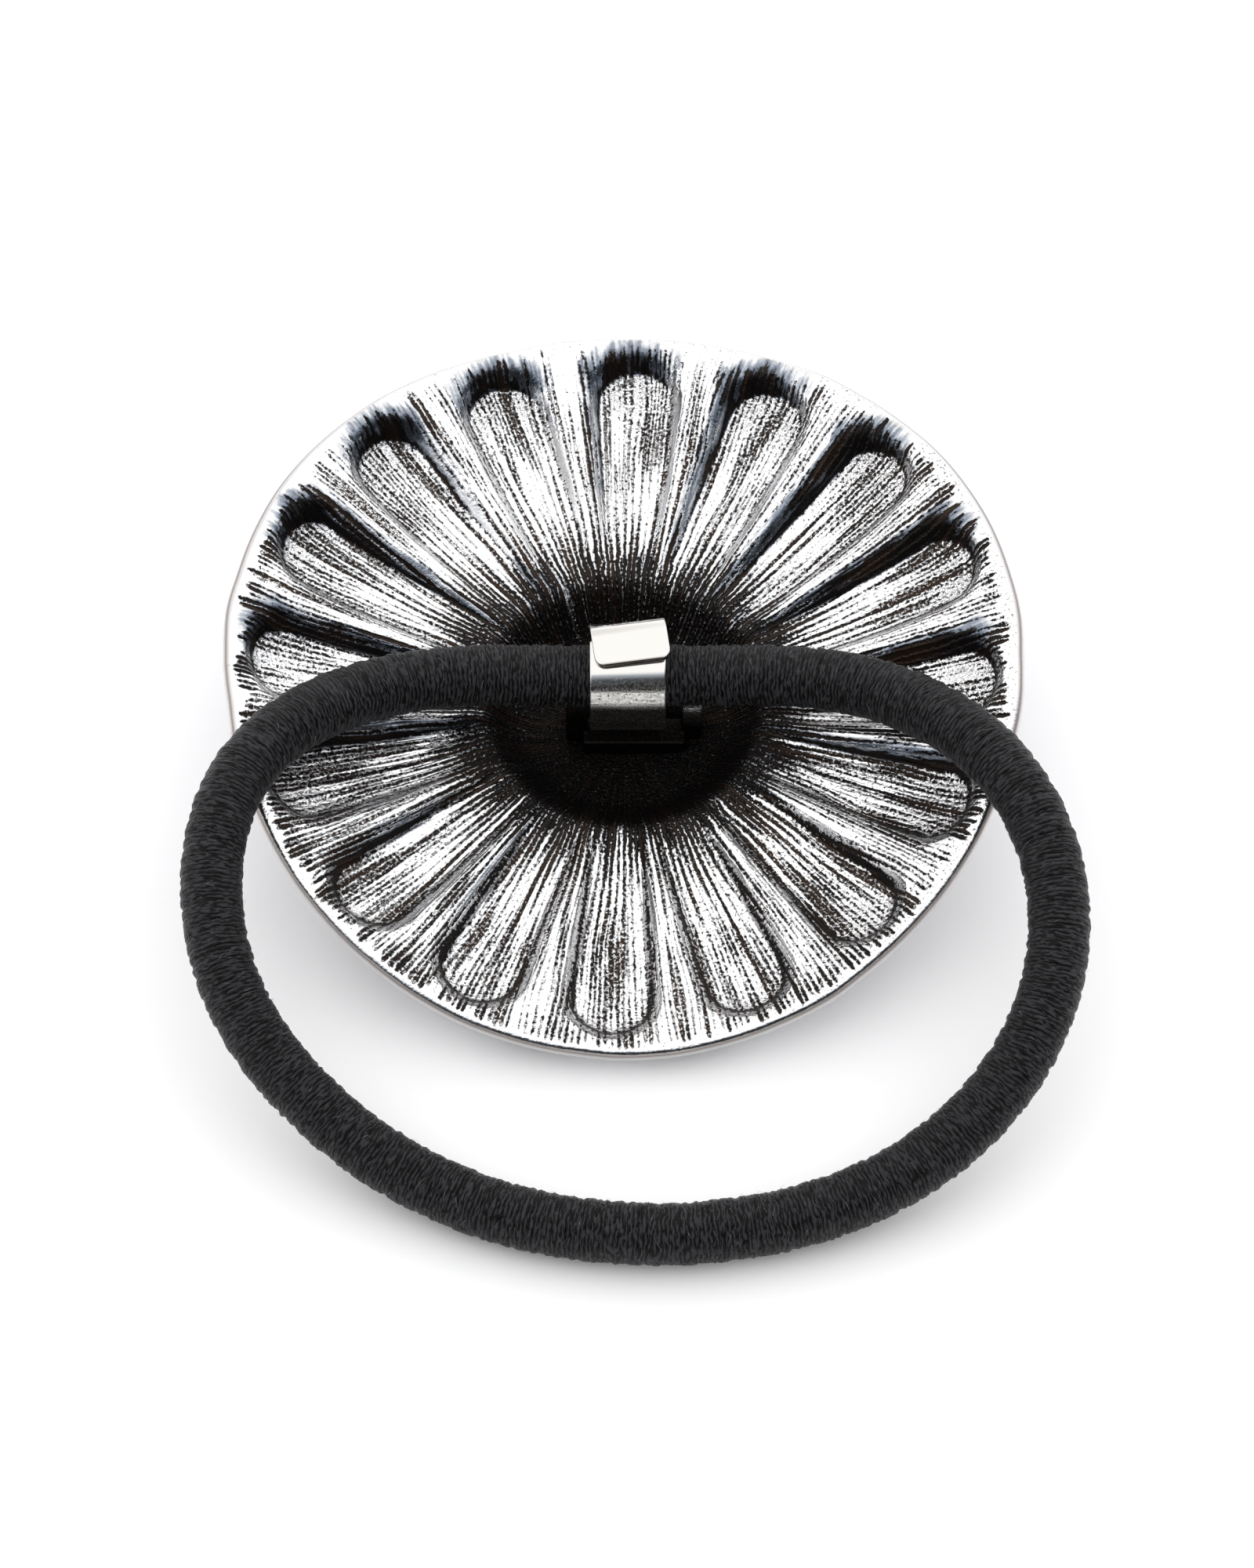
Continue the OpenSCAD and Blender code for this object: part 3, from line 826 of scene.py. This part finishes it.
def petal_walls(s, p):
    """Where the petals' walls are, where the band is that the black covers on them, and how much of that
    band a wall shows. The walls that face the lower right, towards the dark room in front, show most of
    it: there the black is partly patina and partly painted dark reflection."""
    top = 1.1 - 0.14 * p.lower
    wall = ramp(p.across, 0.7, 0.75) * p.petal * ramp(p.across, top, top - 0.15)
    # The black reaches further over the round ends than over the sides
    ends = 0.6 + 1.25 * ramp(p.r * np.cos(p.off), 21.5, 23)
    spread = np.where(p.across > 1, 1 + (p.across - 1) / ends, p.across)
    band = softened([[0, 0], [0.7, 0], [0.76, 1], [1.02, 1], [1.3, 0], [3, 0]], spread, 0.03)
    inward = [p.across - petal_place(s, np.hypot(p.x + dx, p.y + dy),
                                     np.arctan2(p.y + dy, p.x + dx), 0)[0]
              for dx, dy in ((0.1, 0), (0, 0.1))]
    faced = (0.35 * inward[0] - 0.94 * inward[1]) / np.maximum(np.hypot(*inward), 1e-6)
    # Painted dark reflection: walls that face the dark room in front get the band's black, less so on
    # the lower petals
    dark_facing = np.clip(faced + 0.1 * p.soft, 0, 1) * np.clip(1.5 - 1.45 * p.lower, 0.12, 1)
    return wall, band, dark_facing


def cup_black(s, p):
    """How much each point belongs to the cup, whose edge is ragged, and how black it is there: more on
    its near lip and on the far side of its floor."""
    ragged = 0.5 * p.soft + 0.8 * p.ragged + 0.5 * p.uneven
    edge = s.cup_radius + 2.2 + ragged + 1.3 * np.cos(p.turn) ** 2
    cup = ramp(p.r, edge, edge - 1.8)
    near = ramp(np.sin(p.turn), 0.15, -0.35)
    lip = s.cup_radius + 0.2 + 0.8 * ragged
    lip_black = 0.16 * ramp(p.r, lip, lip - 0.8) * near
    floor_black = 0.22 * ramp(p.r, 6.9, 5.7) * (1 - near)
    return cup, 0.37 * cup + lip_black + floor_black


def groove_strength(p, band):
    """How deep and black the grooves are: most near the cup and at the sides of the rim, less on
    the ridges between the petals and at the top, and nothing past a ragged line short of the
    rim."""
    ridge = ramp(p.across, 1, 1.15) * ramp(p.r, 24.2, 23.7)
    beside = np.cos(p.turn) ** 2
    grooved = (0.3 * p.lower + 0.2 * beside) * (1 - 0.4 * ridge) + (0.1 + 0.4 * beside) * p.rim
    grooved += (0.25 + 0.2 * p.rim) * p.uneven - 0.6 * p.rim * (1 - p.lower) ** 2
    grooved -= 0.22 * p.rubbed
    grooved += (1 - grooved) * ramp(p.r, 14, 10)
    grooved += 0.3 * p.rim * band * (1 - p.lower)
    last = np.minimum(24.65 + 0.6 * p.lower ** 2 + 0.1 * p.rough + 0.3 * p.uneven, 25.2)
    return grooved - 3 * ramp(p.r, last, last + 0.3)


def disc_finish(s, p):
    """Returns for each point of the disc [black, grooves, pebbled], [wander of the grooves, smooth
    metal, worn rim], and how deep a groove goes there. The black and the smooth metal also carry the
    painted dark reflection on the walls that face the lower right, and its blue-grey edge."""
    wall, band, dark_facing = petal_walls(s, p)
    cup, black = cup_black(s, p)
    grooved = groove_strength(p, band)
    # Black also stayed at the foot of every wall, and the lower petals' end walls have a thin line
    # of it at theirs
    foot = ((0.42 + 0.16 * p.lower) * ramp(p.petal, 0.15, 0.65)
            * line(p.across, 0.735 + 0.075 * p.lower - 0.015 * p.rough, 0.045 + 0.025 * p.lower))
    foot += 0.55 * p.lower * ramp(p.r, 19.5, 21.5) * line(p.across, 0.755 - 0.02 * p.rough, 0.035)
    # The band on the walls that face the lower right: black that is partly patina and partly painted
    # dark reflection
    black = black + foot + 0.54 * band * dark_facing * p.petal * (1 - cup)
    # The lower petals and the right side have more black
    black += 0.1 * (p.lower - p.rubbed) * ramp(p.across, 1.2, 0.2) ** 0.5 + 0.12 * ramp(p.x, 0, 20)
    pebbled = (ramp(p.r, 16, 22) * ramp(p.across, 0.72, 0.66) * (1 - 0.35 * p.lower)
               + 0.4 * cup * p.lower + 0.35 * p.rim * ramp(p.across, 1, 2))
    finish = np.column_stack([black * (1 - p.over) - 1.5 * p.over, grooved, pebbled])
    wander = 0.35 * p.bends * ramp(p.r, 0, 8) + 0.4 * p.kinks * ramp(p.r, 12, 10)
    # Smooth metal on the rim's face, in the cup, and on the walls with the painted dark reflection,
    # whose blue-grey edge shows there
    smooth = np.clip(4 * band * dark_facing * p.petal + p.over + 0.7 * cup, 0, 1)
    worn = np.clip(1.2 - np.abs(p.over - 0.3) / 0.25, 0, 1)
    phase = p.turn * groove_count(s) / (2 * PI) + wander
    cut = (0.5 + 0.5 * np.cos(2 * PI * phase)) * np.clip(grooved - 0.8 * wall * dark_facing, 0, 1) * (1 - wall)
    return finish, np.column_stack([wander, smooth, worn]), cut


def disc_points(s, p, cut):
    """The disc's two sides before it was bent, and the rim that turns from the one to the other."""
    back = -softened(back_dish(s), p.r, 0.35) - s.petal_depth * petal_share(s, p.r, p.turn, 0)
    face = -softened(face_dish(s), p.r, 0.4) - s.petal_depth * petal_share(s, p.r, p.turn, 0.5)
    # The grooves in the metal itself are as fine as the mesh can follow them
    back += 0.015 * p.rough + 0.02 * p.soft - 0.05 * cut * ramp(p.r, 12, 14)
    z = back * (1 - p.over) + face * p.over
    # The rim's outline was filed by hand, and wanders by 0.1 mm
    filed = p.r + 0.05 * p.filed * ramp(p.r, 22, 25)
    return np.column_stack([filed * np.cos(p.turn), filed * np.sin(p.turn), z])


class HAIRTIE_OT_disc(bpy.types.Operator):
    """Makes the cast flower disc and the staple in its cup"""
    bl_idname = "hair_tie.make_disc"
    bl_label = "Make disc"

    def execute(self, context):
        s = sizes()
        rings = disc_rings(s)
        places = disc_places(s, rings)
        finish, wear, cut = disc_finish(s, places)
        flat = disc_points(s, places, cut)
        starts = np.cumsum([count for _, count, _ in rings])[:-1]
        points, faces = loft(np.split(on_table(s, bent(s, flat)), starts))
        silver = cast_silver(s)
        make_piece("concho", points, faces, "antique_silver", silver, ["concho"],
                   flat_place=with_ends(flat * (1, 1, 0)), finish=with_ends(finish),
                   wear=with_ends(wear))

        points, faces = staple_solid(s)
        make_piece("staple", on_table(s, points), faces, "antique_silver", silver, ["concho"],
                   flat_place=points, finish=staple_finish(s, points),
                   wear=np.tile([0.0, 1.0, 0.0], (len(points), 1)))
        return {"FINISHED"}


def arc(middle, radius, start, stop, step=0.12):
    """Points of an arc in the plane across the bar, angles in degrees."""
    count = max(1, round(abs(math.radians(stop - start)) * radius / step))
    turn = np.radians(np.linspace(start, stop, count + 1))
    return np.column_stack([middle[0] + radius * np.cos(turn), middle[1] + radius * np.sin(turn)])


def meeting(first, second):
    """The angle at which the strip leaves one bend, straight for the next."""
    y, z = second[0] - first[0], second[1] - first[1]
    return 360 + math.degrees(math.atan2(z, y) - math.acos((first[2] - second[2]) / math.hypot(y, z)))


# The strip: radius of its bends, how far the middles of the lower two lie below that of the
# elastic, how far behind it the strip's two ends lie, radius of the flap's corners and of the
# strip's edges, and how far behind the elastic's middle the flap turns
FOLD = 1.2
SHOULDER = 1.6
INNER_END, FLAP_END = 1.2, -0.55
CORNER, EDGE = 0.7, 0.12
HINGE = 2.2


def strap_route(s):
    """The middle of the strip's thickness in the plane across the bar, as [y, z] from the
    elastic's middle, and how far from its end the flap's bend starts."""
    near = s.elastic / 2 + GAP / 2 + s.strip / 2
    far = near + s.strip + GAP / 2
    near_bend = (FOLD - near, -SHOULDER, FOLD)
    cradle = (0, -bar_drop(s), s.bar_radius + 3 * GAP + s.strip / 2)
    far_bend = (far - FOLD, -SHOULDER, FOLD)
    first, second = meeting(near_bend, cradle), meeting(cradle, far_bend)
    # Pressed shut by hand, the near side hugs the top of the elastic, leaves it at a slope
    # and turns down at a soft crease
    leaves, straight, crease = 146, 0.75, 0.8
    slope = math.radians(leaves)
    knee = ((near - crease) * math.cos(slope) - straight * math.sin(slope),
            (near - crease) * math.sin(slope) + straight * math.cos(slope))
    route = np.vstack([
        [[INNER_END, near]],
        arc((0, 0), near, 90, leaves),
        arc(knee, crease, leaves, 188),
        arc(near_bend[:2], FOLD, 180, first),
        arc(cradle[:2], cradle[2], first, second),
        arc(far_bend[:2], FOLD, second, 360),
        arc((far - FOLD, far - FOLD), FOLD, 360, 450),
        [[FLAP_END, far]],
    ])
    return route, far - FOLD - FLAP_END + PI / 2 * FOLD


def strap_stations(total):
    """How far along the strip its sections stand: closer at the flap's corners and its end."""
    along = np.arange(0, total, 0.13)
    corner = CORNER * (1 - np.sin(np.linspace(0, PI / 2, 7)[:-1]))
    end = EDGE * (1 - np.sin(np.linspace(0.3, PI / 2, 5)))
    return np.sort(np.concatenate([along[along < total - 0.75], total - corner, total - end]))


def strap_section(s):
    """The strip's section with rounded edges, as three rows: which side each point is on, how far
    past that side it lies, and how far outwards."""
    section = []
    for cx, cy, start in ((1, 1, 0), (-1, 1, 90), (-1, -1, 180), (1, -1, 270)):
        for a in np.radians(np.linspace(start, start + 90, 5)):
            section.append((cx, EDGE * math.cos(a), cy * (s.strip / 2 - EDGE) + EDGE * math.sin(a)))
    return np.array(section).T


class HAIRTIE_OT_clip(bpy.types.Operator):
    """Makes the strap clip, one strip folded round the elastic and the bar"""
    bl_idname = "hair_tie.make_clip"
    bl_label = "Make clip"

    def execute(self, context):
        s = sizes()
        route, flap = strap_route(s)
        walked = np.concatenate([[0], np.cumsum(np.linalg.norm(np.diff(route, axis=0), axis=1))])
        total = walked[-1]
        along = strap_stations(total)
        middle = np.column_stack([np.interp(along, walked, route[:, k]) for k in (0, 1)])
        ahead = np.gradient(middle, axis=0)
        ahead /= np.linalg.norm(ahead, axis=1)[:, None]
        out = np.column_stack([ahead[:, 1], -ahead[:, 0]])
        side, past, thick = strap_section(s)
        rings, place, stain, sheared = [], [], [], []
        for i, walk in enumerate(along):
            left = total - walk
            # The flap's corners are round, and so is the edge of its end
            short = CORNER - math.sqrt(max(0, CORNER ** 2 - max(0, CORNER - left) ** 2))
            round_edge = math.sqrt(max(0, EDGE ** 2 - max(0, EDGE - left) ** 2))
            flat = (s.strip / 2 - EDGE + round_edge) / (s.strip / 2)
            turn = s.flap_turn * smoothed(ramp(left, flap, flap - PI / 5 * FOLD))
            x = side * (s.clip_width / 2 - EDGE - short) + past
            y, z = (middle[i] + np.outer(thick * flat, out[i])).T
            place.append(np.column_stack([x, np.full(len(x), walk), thick]))
            x, y = (x * math.cos(turn) - (y - HINGE) * math.sin(turn),
                    HINGE + x * math.sin(turn) + (y - HINGE) * math.cos(turn))
            rings.append(np.column_stack([s.clip_shift + x, y, z - ELASTIC_BELOW]))
            # The stain is worst where the strip goes round the bar, and its near side has some
            round_bar = 0.6 * ramp(abs(z + 4.3), 3.6, 0)
            near_side = 0.34 * ramp(z, 2.2, 1.9) * (y < 0) * (i < len(along) // 2)
            stain.append(np.maximum(round_bar, near_side))
            # The flap's end face is grey
            sheared.append(np.full(len(x), left < 0.1))
        points, faces = loft(rings)
        make_piece("clip_strap_plated", on_table(s, points), faces, "bright_strip", plated_strip(),
                   ["clip_strap"], strip_place=with_ends(np.concatenate(place)),
                   stain=with_ends(np.concatenate(stain)), sheared=with_ends(np.concatenate(sheared)))
        return {"FINISHED"}


class HAIRTIE_PT_panel(bpy.types.Panel):
    bl_idname = "HAIRTIE_PT_panel"
    bl_label = "Concho Hair Tie"
    bl_space_type = "VIEW_3D"
    bl_region_type = "UI"
    bl_category = "Hair Tie"

    def draw(self, context):
        for group in (context.scene.hair_tie_sizes, context.scene.hair_tie_colours):
            box = self.layout.box()
            for name in type(group).__annotations__:
                box.prop(group, name)
        for operator in OPERATORS:
            self.layout.operator(operator.bl_idname)


OPERATORS = (HAIRTIE_OT_stage, HAIRTIE_OT_elastic, HAIRTIE_OT_fibres, HAIRTIE_OT_disc,
             HAIRTIE_OT_clip)
CLASSES = (HairTieSizes, HairTieColours, *OPERATORS, HAIRTIE_PT_panel)


def register():
    for cls in CLASSES:
        bpy.utils.register_class(cls)
    bpy.types.Scene.hair_tie_sizes = bpy.props.PointerProperty(type=HairTieSizes)
    bpy.types.Scene.hair_tie_colours = bpy.props.PointerProperty(type=HairTieColours)


def unregister():
    del bpy.types.Scene.hair_tie_colours
    del bpy.types.Scene.hair_tie_sizes
    for cls in reversed(CLASSES):
        bpy.utils.unregister_class(cls)


def main():
    register()
    bpy.ops.hair_tie.make_stage()
    bpy.ops.hair_tie.make_elastic()
    bpy.ops.hair_tie.make_fibres()
    bpy.ops.hair_tie.make_disc()
    bpy.ops.hair_tie.make_clip()


if __name__ == "__main__":
    main()
